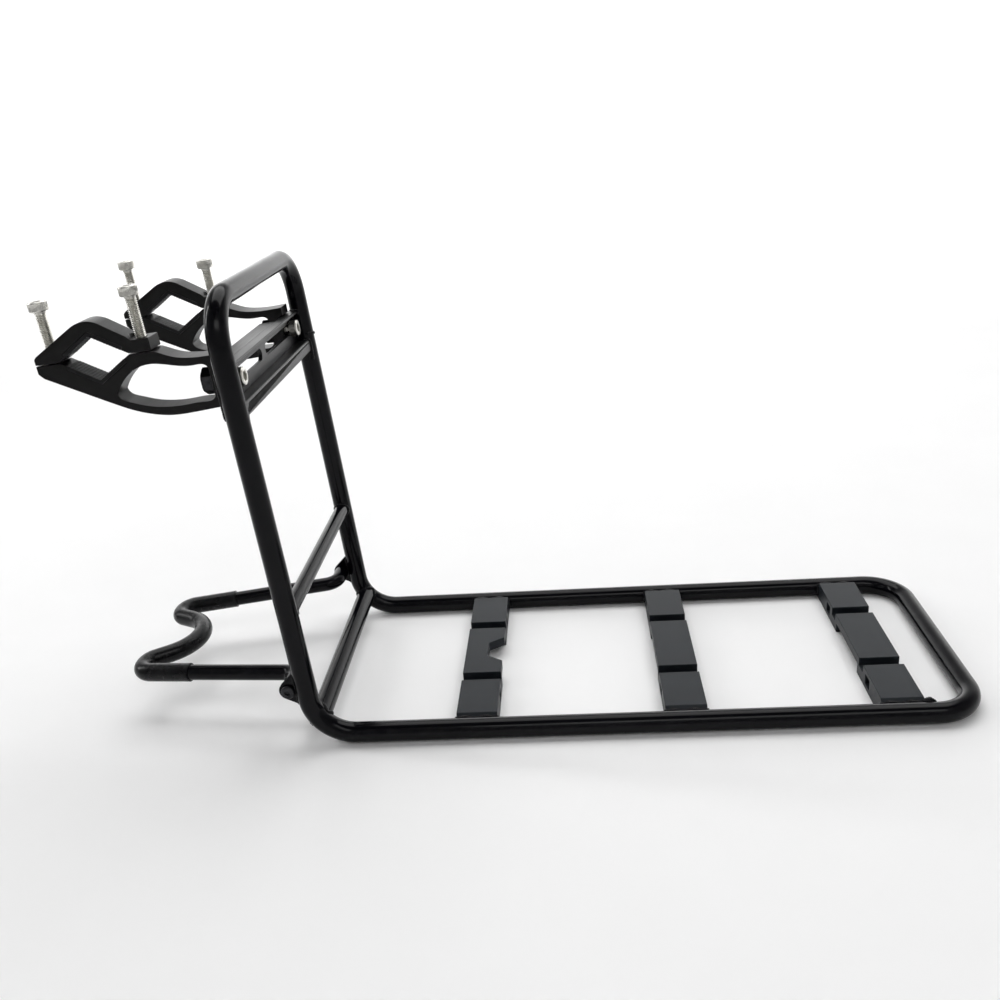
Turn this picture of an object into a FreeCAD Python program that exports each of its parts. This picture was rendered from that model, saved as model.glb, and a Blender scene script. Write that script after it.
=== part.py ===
import FreeCAD, Part
import math
import os

Vec = FreeCAD.Vector

os.makedirs("parts", exist_ok=True)

# ---------------------------------------------------------------- dimensions, mm
# Frame of the drawing: x forward along the deck, y to the left, z up.
# Leaning frame: n across the upright plane (forward), u up along the uprights.

# Main loop, one closed tube bent six times
tube_radius = 6.0
tube_wall = 1.5
loop_length = 378.0
loop_width = 157.0
upright_length = 254.5
lean_angle = 4.0
corner_bend_radius = 26.0
end_bend_radius = 24.0
top_bend_radius = 24.0
vent_radius = 1.5
vent_x = 150.0

# Cross tubes between the two sides of the loop
bottom_tube_x = 3.1
bottom_tube_z = 10.8
bottom_tube_radius = 6.0
middle_tube_u = 79.0
middle_tube_radius = 4.5
cross_tube_wall = 1.2

# Deck slats
slat_centres = {"rear": 94.0, "middle": 215.0, "front": 336.0}
slat_width = 24.0
slat_height = 12.0
slat_top = tube_radius
slat_bevel_start = 71.5
slat_bevel_slope = 1.0
groove_y = 32.0
groove_width = 8.0
groove_depth = 5.0
relief_half_length = 24.5
relief_depth = 6.0
strap_slot_inner_y = 41.7
strap_slot_outer_y = 49.6
strap_slot_bottom = -3.0
strap_slot_top = 3.2
notch_mouth_half_width = 14.2
notch_floor_half_width = 7.7
notch_depth = 9.6
notch_round = 1.5

# Slotted rail that the handlebar clamps bolt to
rail_web_back = -6.5
rail_web_front = -4.0
rail_bottom = 200.4
rail_top = 220.2
rail_lip_front = 0.0
rail_lip_thickness = 2.0
rail_edge_chamfer = 0.5
slot_u = 211.0
slot_radius = 3.4
slot_inner = 4.0
slot_outer = 68.5
box_front = 3.6
box_bottom = 192.6
box_wall = 1.5
box_corner = 1.5
flange_depth = 9.5
flange_half_length = 42.0
flange_thickness = 2.2
flange_corner = 3.0

# Ears welded behind the uprights, and the shoulder screws that the stay turns on
pivot_x = -12.5
pivot_z = 29.8
ear_inner_y = 76.5
ear_thickness = 3.0
ear_radius = 5.5
ear_top_u = 47.0
ear_foot_x = 3.5
ear_foot_z = 15.5
pivot_shank_radius = 2.5
pivot_running_clearance = 0.05
pivot_head_radius = 4.0
pivot_head_height = 2.2
pivot_head_round = 0.8
pivot_socket_flats = 3.0
pivot_socket_depth = 1.3
pivot_end_y = 69.0

# Folding stay: legs that splay towards the ears, and a notched cradle at the far end
stay_radius = 4.75
stay_wall = 1.2
stay_droop = 3.0
stay_leg_y = 58.9
stay_leg_slope = 0.155
stay_tip_x = -116.5
stay_inner_y = 29.0
stay_notch_x = -64.5
stay_end_bend = 9.0
stay_outer_bend = 9.0
stay_inner_bend = 8.5
stay_notch_bend = 25.5
stay_vent_x = -60.0
stay_end_y = 74.2
plug_inner_y = 67.0
plug_nose_radius = 4.0

body_gap = 0.3
sleeve_radius = 5.65
sleeve_start_x = -80.8

# Handlebar clamps
clamp_y = {"left": 62.0, "right": -56.0}
clamp_width = 14.0
clamp_back = -106.0
opening_n = -73.5
opening_u = 232.05
opening_half_width = 19.4
opening_half_height = 11.8
split_half_gap = 0.25
pad_thickness = 2.0
pad_land = 4.6
boss_front = -42.0
boss_top = 239.0
bolt_spacing_half = 25.0
foot_back = -14.6
foot_bottom = 198.0
foot_top = 226.0
foot_nose_front = -4.8
foot_nose_bottom = 220.6
foot_hole_radius = 3.2
clamp_edge_round = 0.5

# M6 socket-head bolts and nuts
m6_radius = 3.0
m6_head_radius = 5.0
m6_head_height = 5.2
m6_head_round = 0.6
m6_socket_flats = 5.0
m6_socket_depth = 3.0
mount_nut_flats = 13.0
mount_nut_height = 6.0
m6_tip_chamfer = 0.6
clamp_bolt_length = 35.0
mount_bolt_length = 16.0
thread_clearance = 0.05
cap_hole_radius = 3.3
counterbore_radius = 5.5
backed_out = {
    ("left", "rear"): 22.4,
    ("left", "front"): 16.6,
    ("right", "rear"): 19.8,
    ("right", "front"): 21.4,
}

# Origin of the finished part: middle of the footprint, on the floor
origin_x = 130.9
origin_z = -tube_radius

# ---------------------------------------------------------------- derived values
half_width = loop_width / 2
lean_sin = math.sin(math.radians(lean_angle))
lean_cos = math.cos(math.radians(lean_angle))
opening_slope = math.atan2(opening_half_height, opening_half_width)
past_everything = 400.0
tiny_overlap = 0.01


def polar(radius, degrees):
    """Point of a circle in the drawing plane."""
    return radius * math.cos(math.radians(degrees)), radius * math.sin(math.radians(degrees))


def leaned(shape):
    """Turn a shape drawn in the leaning frame (n, y, u) into the upright plane."""
    turned = shape.copy()
    turned.rotate(Vec(0, 0, 0), Vec(0, 1, 0), -lean_angle)
    return turned


def lean_point(n, y, u):
    """A point of the leaning frame, in the drawing frame."""
    return Vec(n * lean_cos - u * lean_sin, y, n * lean_sin + u * lean_cos)


def prism(points, axis, start, length):
    """Extrude a polygon. Its points are (x, z) for axis "y", (x, y) for axis "z"."""
    if axis == "y":
        corners = [Vec(a, start, b) for a, b in points]
        direction = Vec(0, length, 0)
    else:
        corners = [Vec(a, b, start) for a, b in points]
        direction = Vec(0, 0, length)
    wire = Part.makePolygon(corners + corners[:1])
    return Part.Face(wire).extrude(direction)


def box_between(low, high):
    """Box from its two opposite corners."""
    size = [b - a for a, b in zip(low, high)]
    return Part.makeBox(size[0], size[1], size[2], Vec(*low))


def bar_along(points, bends, radius, closed):
    """Round bar that follows straight runs joined by bends of the given radii."""
    count = len(points)
    joints = range(count) if closed else range(1, count - 1)
    enter = {}
    leave = {}
    pieces = []
    for i in joints:
        here = points[i]
        back = (points[i - 1] - here).normalize()
        ahead = (points[(i + 1) % count] - here).normalize()
        turn = math.pi - back.getAngle(ahead)
        reach = bends[i] * math.tan(turn / 2)
        enter[i] = here + back * reach
        leave[i] = here + ahead * reach
        axis = ahead.cross(back).normalize()
        inward = (back + ahead).normalize()
        centre = here + inward * (bends[i] / math.cos(turn / 2))
        ring = Part.Wire(Part.makeCircle(radius, enter[i], back))
        elbow = Part.Face(ring).revolve(centre, axis, math.degrees(turn))
        if (elbow.CenterOfMass - here).Length > (elbow.CenterOfMass - centre).Length + reach:
            raise ValueError("bend turned the wrong way")
        pieces.append(elbow)
    runs = range(count) if closed else range(count - 1)
    for i in runs:
        j = (i + 1) % count
        start = leave.get(i, points[i])
        end = enter.get(j, points[j])
        run = end - start
        pieces.append(Part.makeCylinder(radius, run.Length, start, run))
    bar = pieces[0].multiFuse(pieces[1:])
    return bar.removeSplitter()


def hexagon(flats, height, base, direction):
    """Hexagonal prism of a given size across its flats."""
    corner = flats / math.sqrt(3)
    ring = [Vec(*polar(corner, 60 * k), 0) for k in range(6)]
    body = Part.Face(Part.makePolygon(ring + ring[:1])).extrude(Vec(0, 0, height))
    body.Placement = FreeCAD.Placement(base, FreeCAD.Rotation(Vec(0, 0, 1), direction))
    return body


def socket_bolt(head, length, under_head, direction):
    """Socket-head bolt. Direction points from the shank to the head."""
    head_radius, head_height, head_round, flats, depth, shank_radius = head
    crown = Part.makeCylinder(head_radius, head_height)
    rim = [e for e in crown.Edges if abs(e.CenterOfMass.z - head_height) < tiny_overlap]
    crown = crown.makeFillet(head_round, rim[:1])
    shank = Part.makeCylinder(shank_radius, length, Vec(0, 0, -length))
    end = [e for e in shank.Edges if abs(e.CenterOfMass.z + length) < tiny_overlap]
    shank = shank.makeChamfer(m6_tip_chamfer, end[:1])
    bolt = crown.fuse(shank)
    socket = hexagon(flats, depth + 1, Vec(0, 0, head_height - depth), Vec(0, 0, 1))
    bolt = bolt.cut(socket)
    bolt.Placement = FreeCAD.Placement(under_head, FreeCAD.Rotation(Vec(0, 0, 1), direction))
    return bolt


def nut(flats, height, bore_radius, base, direction):
    """Hexagonal nut with chamfered corners on both faces."""
    blank = hexagon(flats, height, Vec(0, 0, 0), Vec(0, 0, 1))
    corner = flats / math.sqrt(3)
    drop = (corner - flats / 2) / 2
    flat = flats / 2 + drop / 2
    low = Part.makeCone(flat, corner + drop, drop, Vec(0, 0, 0))
    middle = Part.makeCylinder(corner + drop, height - 2 * drop, Vec(0, 0, drop))
    high = Part.makeCone(corner + drop, flat, drop, Vec(0, 0, height - drop))
    blank = blank.common(low.fuse([middle, high]))
    blank = blank.cut(Part.makeCylinder(bore_radius, height, Vec(0, 0, 0)))
    blank.Placement = FreeCAD.Placement(base, FreeCAD.Rotation(Vec(0, 0, 1), direction))
    return blank


def tangent_point(outside, centre, radius, side):
    """Where a line from an outside point touches a circle, on one side of it."""
    along = math.atan2(outside[1] - centre[1], outside[0] - centre[0])
    distance = math.hypot(outside[0] - centre[0], outside[1] - centre[1])
    angle = along + side * math.acos(radius / distance)
    return centre[0] + radius * math.cos(angle), centre[1] + radius * math.sin(angle)


def outline_prism(segments, y_start, length):
    """Extrude a closed outline in (n, u). Lists of three or more points are smooth curves."""
    edges = []
    for points in segments:
        vectors = [Vec(a, y_start, b) for a, b in points]
        if len(vectors) == 2:
            edges.append(Part.LineSegment(vectors[0], vectors[1]).toShape())
        else:
            curve = Part.BSplineCurve()
            curve.interpolate(vectors)
            edges.append(curve.toShape())
    return Part.Face(Part.Wire(edges)).extrude(Vec(0, length, 0))


def along_flat(side, jaw, distance, depth):
    """Point on a flat of the clamp opening.

    side -1 is the rear flat and 1 the front one; jaw -1 is below and 1 above.
    Distance runs from the corner towards the ridge, depth goes into the metal.
    """
    n = opening_n + side * (opening_half_width - distance * math.cos(opening_slope))
    u = opening_u + jaw * distance * math.sin(opening_slope)
    n = n + side * depth * math.sin(opening_slope)
    u = u + jaw * depth * math.cos(opening_slope)
    return n, u


def flat_corner(side, jaw):
    """Where a flat of the opening meets the split face of its jaw."""
    rise = split_half_gap / math.sin(opening_slope)
    return along_flat(side, jaw, rise, 0)


def ridge(jaw, depth):
    """Root of the V, at a depth behind the rubber."""
    return opening_n, opening_u + jaw * (opening_half_height + depth / math.cos(opening_slope))


# ---------------------------------------------------------------- welded frame
def loop_points():
    low_right = Vec(0, -half_width, 0)
    end_right = Vec(loop_length, -half_width, 0)
    end_left = Vec(loop_length, half_width, 0)
    low_left = Vec(0, half_width, 0)
    top_left = lean_point(0, half_width, upright_length)
    top_right = lean_point(0, -half_width, upright_length)
    return [low_right, end_right, end_left, low_left, top_left, top_right]


loop_bends = [
    corner_bend_radius,
    end_bend_radius,
    end_bend_radius,
    corner_bend_radius,
    top_bend_radius,
    top_bend_radius,
]


def cross_tube(x, z, radius, wall):
    """Tube across the frame, coped to the sides of the loop."""
    start = Vec(x, -half_width, z)
    outer = Part.makeCylinder(radius, loop_width, start, Vec(0, 1, 0))
    bore = Part.makeCylinder(radius - wall, loop_width, start, Vec(0, 1, 0))
    return outer.cut(bore).cut(loop_bar)


def deck_slat(name):
    """Slat butt-welded between the side tubes, with grooves across its top."""
    centre = slat_centres[name]
    x_low = centre - slat_width / 2
    x_high = centre + slat_width / 2
    z_low = slat_top - slat_height
    slat = box_between((x_low, -half_width, z_low), (x_high, half_width, slat_top))
    cuts = []
    for side in (-1, 1):
        start = slat_bevel_start
        drop = slat_bevel_slope * (half_width - start)
        wedge = [
            Vec(x_low, side * start, slat_top),
            Vec(x_low, side * half_width, slat_top),
            Vec(x_low, side * half_width, slat_top - drop),
        ]
        face = Part.Face(Part.makePolygon(wedge + wedge[:1]))
        cuts.append(face.extrude(Vec(slat_width, 0, 0)))
        low_y = side * groove_y - groove_width / 2
        high_y = side * groove_y + groove_width / 2
        floor = slat_top - groove_depth
        cuts.append(box_between((x_low, low_y, floor), (x_high, high_y, slat_top)))
    relief_low = (x_low, -relief_half_length, z_low)
    relief_high = (x_high, relief_half_length, z_low + relief_depth)
    cuts.append(box_between(relief_low, relief_high))
    for side in (-1, 1):
        low_y, high_y = sorted([side * strap_slot_inner_y, side * strap_slot_outer_y])
        low = (x_low, low_y, strap_slot_bottom)
        cuts.append(box_between(low, (x_high, high_y, strap_slot_top)))
    if name == "rear":
        floor_x = x_high - notch_depth
        points = [
            (x_high, -notch_mouth_half_width),
            (x_high, notch_mouth_half_width),
            (floor_x, notch_floor_half_width),
            (floor_x, -notch_floor_half_width),
        ]
        notch = prism(points, "z", z_low, slat_height)
        corners = [
            e
            for e in notch.Edges
            if abs(e.Length - slat_height) < tiny_overlap
            and abs(e.CenterOfMass.x - floor_x) < tiny_overlap
        ]
        cuts.append(notch.makeFillet(notch_round, corners))
    return slat.cut(cuts).cut(loop_bar)


def clamp_rail():
    """Web with two long slots, and a lip along its top front edge."""
    c = rail_edge_chamfer
    lip_bottom = rail_top - rail_lip_thickness
    points = [
        (rail_web_back, rail_bottom),
        (rail_web_front, rail_bottom),
        (rail_web_front, lip_bottom),
        (rail_lip_front - c, lip_bottom),
        (rail_lip_front, lip_bottom + c),
        (rail_lip_front, rail_top - c),
        (rail_lip_front - c, rail_top),
        (rail_web_back, rail_top),
    ]
    rail = prism(points, "y", -half_width, loop_width)
    thickness = rail_web_front - rail_web_back
    forward = Vec(1, 0, 0)
    cuts = []
    for side in (-1, 1):
        ends = sorted([side * (slot_inner + slot_radius), side * (slot_outer - slot_radius)])
        for y in ends:
            base = Vec(rail_web_back, y, slot_u)
            cuts.append(Part.makeCylinder(slot_radius, thickness, base, forward))
        low = (rail_web_back, ends[0], slot_u - slot_radius)
        high = (rail_web_front, ends[1], slot_u + slot_radius)
        cuts.append(box_between(low, high))
    return leaned(rail.cut(cuts)).cut(loop_bar)


def clamp_rail_box():
    """Box section under the slotted web."""
    outer = box_between(
        (rail_web_back, -half_width, box_bottom), (box_front, half_width, rail_bottom)
    )
    long_edges = [e for e in outer.Edges if abs(e.Length - loop_width) < tiny_overlap]
    outer = outer.makeFillet(box_corner, long_edges)
    low = (rail_web_back + box_wall, -half_width, box_bottom + box_wall)
    high = (box_front - box_wall, half_width, rail_bottom - box_wall)
    return leaned(outer.cut(box_between(low, high))).cut(loop_bar)


def rail_back_flange():
    """Flange along the back of the rail between the clamps, with round rear corners."""
    back = rail_web_back - flange_depth
    low = (back, -flange_half_length, rail_top - flange_thickness)
    high = (rail_web_back, flange_half_length, rail_top)
    plate = box_between(low, high)
    corners = [
        e
        for e in plate.Edges
        if abs(e.Length - flange_thickness) < tiny_overlap
        and abs(e.CenterOfMass.x - back) < tiny_overlap
    ]
    return leaned(plate.makeFillet(flange_corner, corners))


def stay_ear(side):
    """Ear behind an upright that carries the stay's pivot."""
    top = lean_point(0, 0, ear_top_u)
    pivot = (pivot_x, pivot_z)
    high = (top.x, top.z)
    low = (ear_foot_x, ear_foot_z)
    points = [
        high,
        tangent_point(high, pivot, ear_radius, 1),
        pivot,
        tangent_point(low, pivot, ear_radius, -1),
        low,
    ]
    start = ear_inner_y if side > 0 else -ear_inner_y - ear_thickness
    ear = prism(points, "y", start, ear_thickness)
    base = Vec(pivot_x, start, pivot_z)
    ear = ear.fuse(Part.makeCylinder(ear_radius, ear_thickness, base, Vec(0, 1, 0)))
    hole_radius = pivot_shank_radius + pivot_running_clearance
    hole = Part.makeCylinder(hole_radius, ear_thickness, base, Vec(0, 1, 0))
    return ear.cut(hole).cut(loop_bar).removeSplitter()


def pivot_bolt(side):
    """Shoulder screw in the ear, whose plain end runs in the stay's end plug."""
    outer_face = ear_inner_y + ear_thickness
    head = (
        pivot_head_radius,
        pivot_head_height,
        pivot_head_round,
        pivot_socket_flats,
        pivot_socket_depth,
        pivot_shank_radius,
    )
    at = Vec(pivot_x, side * outer_face, pivot_z)
    return socket_bolt(head, outer_face - pivot_end_y, at, Vec(0, side, 0))


# ---------------------------------------------------------------- folding stay
def leg_y(x):
    """Half width of the stay's legs at a distance along the rack."""
    return stay_leg_y + stay_leg_slope * (x - pivot_x)


def drooped(shape):
    """Turn the stay, drawn level, down about its pivots to its resting place."""
    turned = shape.copy()
    turned.rotate(Vec(pivot_x, 0, pivot_z), Vec(0, 1, 0), -stay_droop)
    return turned


def cradle_points():
    """Left half of the cradle: outer corner and inner corner."""
    z = pivot_z
    return [Vec(stay_tip_x, leg_y(stay_tip_x), z), Vec(stay_tip_x, stay_inner_y, z)]


def both_sides(left):
    """Centreline from the left side, round the notch, to the right side."""
    right = [Vec(p.x, -p.y, p.z) for p in reversed(left)]
    return left + [Vec(stay_notch_x, 0, pivot_z)] + right


def stay_bar(radius, end_y):
    """Round bar along the whole stay, from one pivot to the other."""
    ends = [Vec(pivot_x, end_y, pivot_z), Vec(pivot_x, stay_leg_y, pivot_z)]
    left = [0.0, stay_end_bend, stay_outer_bend, stay_inner_bend]
    bends = left + [stay_notch_bend] + list(reversed(left))
    return bar_along(both_sides(ends + cradle_points()), bends, radius, False)


def sleeve_bar(radius):
    """Round bar along the part of the stay that the sleeve covers."""
    left = [0.0, stay_outer_bend, stay_inner_bend]
    bends = left + [stay_notch_bend] + list(reversed(left))
    start = Vec(sleeve_start_x, leg_y(sleeve_start_x), pivot_z)
    return bar_along(both_sides([start] + cradle_points()), bends, radius, False)


def end_plug(side):
    """Plug in the end of the stay, with a turned nose beside the ear."""
    across = Vec(0, side, 0)
    nose_face = ear_inner_y - body_gap
    base = Vec(pivot_x, side * plug_inner_y, pivot_z)
    plug = Part.makeCylinder(stay_radius - stay_wall, stay_end_y - plug_inner_y, base, across)
    end = Vec(pivot_x, side * stay_end_y, pivot_z)
    return plug.fuse(Part.makeCylinder(plug_nose_radius, nose_face - stay_end_y, end, across))


def stay_tube():
    """Bent tube with a bored plug in each end and a vent under the left leg."""
    tube = stay_bar(stay_radius, stay_end_y).cut(stay_bar(stay_radius - stay_wall, plug_inner_y))
    vent_base = Vec(stay_vent_x, leg_y(stay_vent_x), pivot_z - stay_radius - 1)
    tube = tube.cut(Part.makeCylinder(vent_radius, stay_radius + 1, vent_base))
    tube = tube.fuse([end_plug(1), end_plug(-1)]).removeSplitter()
    bores = []
    for side in (-1, 1):
        bottom = pivot_end_y - body_gap
        base = Vec(pivot_x, side * bottom, pivot_z)
        radius = pivot_shank_radius + pivot_running_clearance
        bores.append(Part.makeCylinder(radius, ear_inner_y - bottom, base, Vec(0, side, 0)))
    return drooped(tube.cut(bores))


def stay_sleeve():
    """Rubber sleeve over the cradle."""
    return drooped(sleeve_bar(sleeve_radius).cut(sleeve_bar(stay_radius)))


# ---------------------------------------------------------------- handlebar clamps
def clamp_start(side):
    return clamp_y[side] - clamp_width / 2


def bolt_n(place):
    return opening_n + (bolt_spacing_half if place == "front" else -bolt_spacing_half)


def jaw_recess(jaw):
    """Points of the rubber's bed, from the front corner to the rear one."""
    return [
        flat_corner(1, jaw),
        along_flat(1, jaw, pad_land, 0),
        along_flat(1, jaw, pad_land, pad_thickness),
        ridge(jaw, pad_thickness),
        along_flat(-1, jaw, pad_land, pad_thickness),
        along_flat(-1, jaw, pad_land, 0),
        flat_corner(-1, jaw),
    ]


def lines_through(points):
    return [[a, b] for a, b in zip(points, points[1:])]


def clamp_arm(side):
    """Lower jaw, two branches round an open window, and the foot on the rail."""
    top = opening_u - split_half_gap
    front = rail_web_back - body_gap
    shelf_end = boss_front + 0.5
    bottom = [
        (front, foot_bottom), (-20.0, 197.2), (-30.0, 196.6), (-41.0, 196.7), (-51.0, 198.6),
        (-60.0, 201.7), (-69.0, 206.1), (-77.0, 210.4),
    ]
    rear = [bottom[-1], (-103.5, 224.8), (clamp_back, 227.6), (clamp_back, top), flat_corner(-1, -1)]
    recess = list(reversed(jaw_recess(-1)))
    shelf = [recess[-1], (shelf_end, top)]
    branch = [
        (shelf_end, top), (-37.5, 230.0), (-32.0, 227.6), (-25.0, 226.1), (-15.0, 225.6),
        (foot_nose_front, foot_top),
    ]
    segments = [bottom] + lines_through(rear + recess[1:]) + [shelf, branch]
    nose = [
        (foot_nose_front, foot_top),
        (foot_nose_front, foot_nose_bottom),
        (front, foot_nose_bottom),
        (front, foot_bottom),
    ]
    segments += lines_through(nose)
    arm = outline_prism(segments, clamp_start(side), clamp_width)
    window_top = [
        (foot_back, 219.4), (-16.4, 221.2), (-22.0, 221.6), (-30.0, 222.3), (-38.0, 224.2),
        (-45.0, 225.2), (-51.5, 224.3), (-58.0, 221.0), (-63.3, 216.2), (-66.6, 211.6),
    ]
    window_bottom = [
        window_top[-1], (-65.2, 208.6), (-60.8, 206.3), (-51.0, 203.0), (-42.0, 201.5),
        (-32.0, 201.3), (-22.0, 201.7), (-16.4, 202.2), (foot_back, 204.0),
    ]
    window = [window_top, window_bottom, [(foot_back, 204.0), (foot_back, 219.4)]]
    arm = arm.cut(outline_prism(window, clamp_start(side), clamp_width))
    cuts = []
    for place in ("rear", "front"):
        low = opening_u - opening_half_width if place == "rear" else window_top[3][1] - 4
        base = Vec(bolt_n(place), clamp_y[side], low)
        hole = Part.makeCylinder(m6_radius + thread_clearance, top - low, base)
        cuts.append(hole)
    depth = front - foot_back
    foot_base = Vec(foot_back, clamp_y[side], slot_u)
    cuts.append(Part.makeCylinder(foot_hole_radius, depth, foot_base, Vec(1, 0, 0)))
    return leaned(arm.cut(cuts))


def clamp_cap(side):
    """Upper jaw, with a counterbored seat for each of its two bolts."""
    base = opening_u + split_half_gap
    slope_rear = [(clamp_back, base), (clamp_back, 235.4), (-104.6, 236.8), (-81.5, 249.7)]
    crown = [(-81.5, 249.7), (-77.0, 251.3), (-73.2, 251.7), (-69.4, 251.0), (-65.5, 249.0)]
    slope_front = [(-65.5, 249.0), (-53.4, 240.9), (-51.8, boss_top), (boss_front, boss_top)]
    segments = lines_through(slope_rear) + [crown] + lines_through(slope_front)
    inner = [(boss_front, boss_top), (boss_front, base)] + jaw_recess(1) + [(clamp_back, base)]
    segments = segments + lines_through(inner)
    cap = outline_prism(segments, clamp_start(side), clamp_width)
    cuts = []
    for place in ("rear", "front"):
        at = Vec(bolt_n(place), clamp_y[side], base)
        cuts.append(Part.makeCylinder(cap_hole_radius, boss_top - base, at))
        seat = Vec(bolt_n(place), clamp_y[side], boss_top)
        cuts.append(Part.makeCylinder(counterbore_radius, m6_head_height * 2, seat))
    return leaned(cap.cut(cuts))


def clamp_pad(side, jaw):
    """Bent rubber strip in the bed of a jaw."""
    points = [
        along_flat(1, jaw, pad_land, 0),
        along_flat(1, jaw, pad_land, pad_thickness),
        ridge(jaw, pad_thickness),
        along_flat(-1, jaw, pad_land, pad_thickness),
        along_flat(-1, jaw, pad_land, 0),
        ridge(jaw, 0),
    ]
    return leaned(prism(points, "y", clamp_start(side), clamp_width))


m6_head = (
    m6_head_radius,
    m6_head_height,
    m6_head_round,
    m6_socket_flats,
    m6_socket_depth,
    m6_radius,
)


def clamp_bolt(side, place):
    """Long clamp bolt, drawn backed out above its seat."""
    under_head = boss_top + body_gap + backed_out[(side, place)]
    at = Vec(bolt_n(place), clamp_y[side], under_head)
    return leaned(socket_bolt(m6_head, clamp_bolt_length, at, Vec(0, 0, 1)))


def mount_bolt(side):
    """Bolt that holds a clamp's foot to the slotted rail."""
    at = Vec(rail_web_front + body_gap, clamp_y[side], slot_u)
    return leaned(socket_bolt(m6_head, mount_bolt_length, at, Vec(1, 0, 0)))


def mount_nut(side):
    at = Vec(foot_back, clamp_y[side], slot_u)
    return leaned(nut(mount_nut_flats, mount_nut_height, m6_radius, at, Vec(-1, 0, 0)))


# ---------------------------------------------------------------- build and export
loop_bar = bar_along(loop_points(), loop_bends, tube_radius, True)
loop_bore = bar_along(loop_points(), loop_bends, tube_radius - tube_wall, True)
vent_start = Vec(vent_x, half_width, -tube_radius - 1)
loop_vent = Part.makeCylinder(vent_radius, tube_radius + 1, vent_start)
middle_tube_at = lean_point(0, 0, middle_tube_u)

nodes = {
    "main_loop_tube": loop_bar.cut(loop_bore).cut(loop_vent),
    "bottom_cross_tube": cross_tube(
        bottom_tube_x, bottom_tube_z, bottom_tube_radius, cross_tube_wall
    ),
    "middle_cross_tube": cross_tube(
        middle_tube_at.x, middle_tube_at.z, middle_tube_radius, cross_tube_wall
    ),
    "clamp_rail": clamp_rail(),
    "clamp_rail_box": clamp_rail_box(),
    "rail_back_flange": rail_back_flange(),
    "stay_tube": stay_tube(),
    "stay_sleeve": stay_sleeve(),
}
for slat_name in slat_centres:
    nodes["deck_slat_" + slat_name] = deck_slat(slat_name)
for side_name, sign in (("left", 1), ("right", -1)):
    nodes["stay_ear_" + side_name] = stay_ear(sign)
    nodes["pivot_bolt_" + side_name] = pivot_bolt(sign)
    nodes["clamp_arm_" + side_name] = clamp_arm(side_name)
    nodes["clamp_cap_" + side_name] = clamp_cap(side_name)
    nodes["jaw_pad_" + side_name] = clamp_pad(side_name, -1)
    nodes["cap_pad_" + side_name] = clamp_pad(side_name, 1)
    nodes["mount_bolt_" + side_name] = mount_bolt(side_name)
    nodes["mount_nut_" + side_name] = mount_nut(side_name)
    for place_name in ("rear", "front"):
        bolt_name = "clamp_bolt_" + side_name + "_" + place_name
        nodes[bolt_name] = clamp_bolt(side_name, place_name)

for node_name, node_shape in nodes.items():
    solids = node_shape.Solids
    if len(solids) != 1 or not node_shape.isValid():
        raise ValueError(node_name + " is not one valid solid: " + str(len(solids)))
    placed = solids[0].copy()
    placed.translate(Vec(-origin_x, 0, -origin_z))
    placed.exportStep("parts/" + node_name + ".step")
    box = placed.BoundBox
    print(
        node_name,
        round(placed.Volume / 1000, 2),
        "cm3",
        [round(v, 1) for v in (box.XMin, box.XMax, box.YMin, box.YMax, box.ZMin, box.ZMax)],
    )
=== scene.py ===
# %% [markdown]
# # A handlebar luggage rack
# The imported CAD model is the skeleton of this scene: it says where every part
# is and what moves with what. This script gives the skeleton its finish. A part
# whose surface is already right only gets a material. A part that needs real
# threads, ripples in a weld or a broken edge is made again here, in the same
# place, and stands in for the CAD part.

# %% Load the frame
import math

import bmesh
import bpy
from mathutils import Matrix, Vector


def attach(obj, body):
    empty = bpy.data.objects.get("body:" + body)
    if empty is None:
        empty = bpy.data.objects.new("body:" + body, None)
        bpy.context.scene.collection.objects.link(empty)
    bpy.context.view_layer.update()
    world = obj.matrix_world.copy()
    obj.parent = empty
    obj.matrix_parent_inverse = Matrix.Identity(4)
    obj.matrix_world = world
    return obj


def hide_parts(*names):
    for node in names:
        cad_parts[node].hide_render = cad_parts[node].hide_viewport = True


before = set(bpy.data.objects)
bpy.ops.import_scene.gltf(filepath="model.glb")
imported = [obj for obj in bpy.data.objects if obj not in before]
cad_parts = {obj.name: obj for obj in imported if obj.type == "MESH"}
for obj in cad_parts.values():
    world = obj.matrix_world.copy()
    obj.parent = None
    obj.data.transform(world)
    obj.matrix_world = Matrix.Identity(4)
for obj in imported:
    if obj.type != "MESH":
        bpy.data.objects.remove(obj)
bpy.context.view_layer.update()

# %% [markdown]
# ## Sizes
# The drawing is in millimetres and Blender works in metres, so one factor turns
# one into the other. The uprights lean back by four degrees. Everything that is
# bolted to them is easiest to describe in a frame that leans with them: n is
# measured forward across the uprights and u along them.

# %% Sizes of the rack, in millimetres
MM = 0.001
ORIGIN_X = 130.9
TUBE_R = 6.0
DECK_LENGTH = 378.0
HALF_WIDTH = 78.5
UPRIGHT = 254.5
LEAN = math.radians(4.0)


def drawn(x, y, z):
    """A point of the drawing, in metres in the rack's own frame."""
    return Vector(((x - ORIGIN_X) * MM, y * MM, (z + TUBE_R) * MM))


def leaned(n, y, u):
    """A point of the leaning frame, in metres in the rack's own frame."""
    c, s = math.cos(LEAN), math.sin(LEAN)
    return drawn(n * c - u * s, y, n * s + u * c)


across = Vector((math.cos(LEAN), 0.0, math.sin(LEAN)))
upward = Vector((-math.sin(LEAN), 0.0, math.cos(LEAN)))
print("top of the uprights:", [round(v, 4) for v in leaned(0, 0, UPRIGHT)])

# %% [markdown]
# ## Arithmetic for node trees
# A node tree is a sum written with boxes and wires. Wrapping a socket in a small
# class lets the sum be written as Python instead: each operator adds the Math
# node that does it. Geometry trees and shader trees share the same Math node, so
# one class serves both.


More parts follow.
